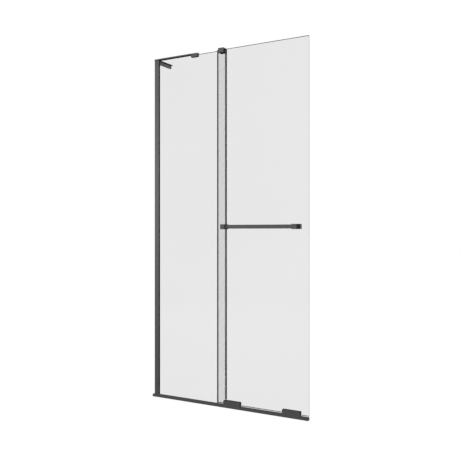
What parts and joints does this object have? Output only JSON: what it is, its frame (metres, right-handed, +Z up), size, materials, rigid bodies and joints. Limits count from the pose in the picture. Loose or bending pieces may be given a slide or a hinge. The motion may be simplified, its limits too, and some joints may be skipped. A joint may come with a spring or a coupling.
{
  "type": "sliding walk-in shower screen",
  "caption": "Walk-in shower screen with a fixed glass pane on a wall profile and a sliding glass pane with a bar handle, rolling on a floor rail.",
  "frame": {"origin": "middle of the floor rail's underside", "axes": "+X along the screen from the wall to the free end, +Y into the shower, +Z up"},
  "size_m": [1, 0.219, 2.0015],
  "materials": {
    "dark_metal": "satin anthracite",
    "clear_glass": "polished clear",
    "black_rubber": "matte black",
    "smoke_vinyl": "translucent grey",
    "clear_vinyl": "clear",
    "dark_plastic": "matte anthracite",
    "nylon": "white",
    "steel": "plain stainless"
  },
  "bodies": {
    "frame": {"wall_channel": "dark_metal", "glazing_profile": "dark_metal", "profile_cap": "dark_plastic", "gasket_outer": "black_rubber", "gasket_inner": "black_rubber", "locking_screws": "steel", "fixed_glass": "clear_glass", "sill_channel": "dark_metal", "sill_rubber": "black_rubber", "fixed_edge_seal": "smoke_vinyl", "rail": "dark_metal", "rail_end_cap": "dark_plastic", "rail_stop_left": "dark_plastic", "rail_stop_right": "dark_plastic", "stop_buffer_left": "black_rubber", "stop_buffer_right": "black_rubber", "brace": "dark_metal", "clamp_body": "dark_metal", "clamp_pads": "black_rubber", "clamp_screws": "steel", "clamp_top_screw": "steel", "guide_body": "dark_metal", "guide_slide_pads": "nylon", "guide_glass_pads": "black_rubber", "guide_screws": "steel"},
    "door": {"door_glass": "clear_glass", "door_edge_seal": "black_rubber", "door_sweeps": "clear_vinyl", "carriage_left_body": "dark_plastic", "carriage_left_cover": "dark_metal", "carriage_left_pads": "black_rubber", "carriage_left_plate": "dark_metal", "carriage_left_bolts": "steel", "carriage_left_axles": "steel", "carriage_right_body": "dark_plastic", "carriage_right_cover": "dark_metal", "carriage_right_pads": "black_rubber", "carriage_right_plate": "dark_metal", "carriage_right_bolts": "steel", "carriage_right_axles": "steel", "handle_bar": "dark_metal", "handle_block_left": "dark_metal", "handle_block_right": "dark_metal", "handle_washers": "dark_plastic", "handle_screw": "steel", "handle_stud": "steel", "handle_knob": "dark_metal", "handle_grubs": "steel"},
    "roller_left_outer": {"roller_left_outer_tyre": "nylon", "roller_left_outer_hub": "steel"},
    "roller_left_inner": {"roller_left_inner_tyre": "nylon", "roller_left_inner_hub": "steel"},
    "roller_right_outer": {"roller_right_outer_tyre": "nylon", "roller_right_outer_hub": "steel"},
    "roller_right_inner": {"roller_right_inner_tyre": "nylon", "roller_right_inner_hub": "steel"}
  },
  "joints": [
    {"name": "door_slide", "type": "slide", "parent": "frame", "child": "door", "axis": [-1, 0, 0], "range_m": [0, 0.395]},
    {"name": "roller_left_outer_spin", "type": "hinge", "parent": "door", "child": "roller_left_outer", "pos_m": [0.009, -0.001, 0.0172], "axis": [0, -1, 0], "range_deg": [-2, 1743]},
    {"name": "roller_left_inner_spin", "type": "hinge", "parent": "door", "child": "roller_left_inner", "pos_m": [0.077, -0.001, 0.0172], "axis": [0, -1, 0], "range_deg": [-2, 1743]},
    {"name": "roller_right_outer_spin", "type": "hinge", "parent": "door", "child": "roller_right_outer", "pos_m": [0.3695, -0.001, 0.0172], "axis": [0, -1, 0], "range_deg": [-2, 1743]},
    {"name": "roller_right_inner_spin", "type": "hinge", "parent": "door", "child": "roller_right_inner", "pos_m": [0.4375, -0.001, 0.0172], "axis": [0, -1, 0], "range_deg": [-2, 1743]}
  ],
  "couplings": [
    {"joint": "roller_left_outer_spin", "follows": "door_slide", "rad_per_m": 76.923},
    {"joint": "roller_left_inner_spin", "follows": "door_slide", "rad_per_m": 76.923},
    {"joint": "roller_right_outer_spin", "follows": "door_slide", "rad_per_m": 76.923},
    {"joint": "roller_right_inner_spin", "follows": "door_slide", "rad_per_m": 76.923}
  ]
}
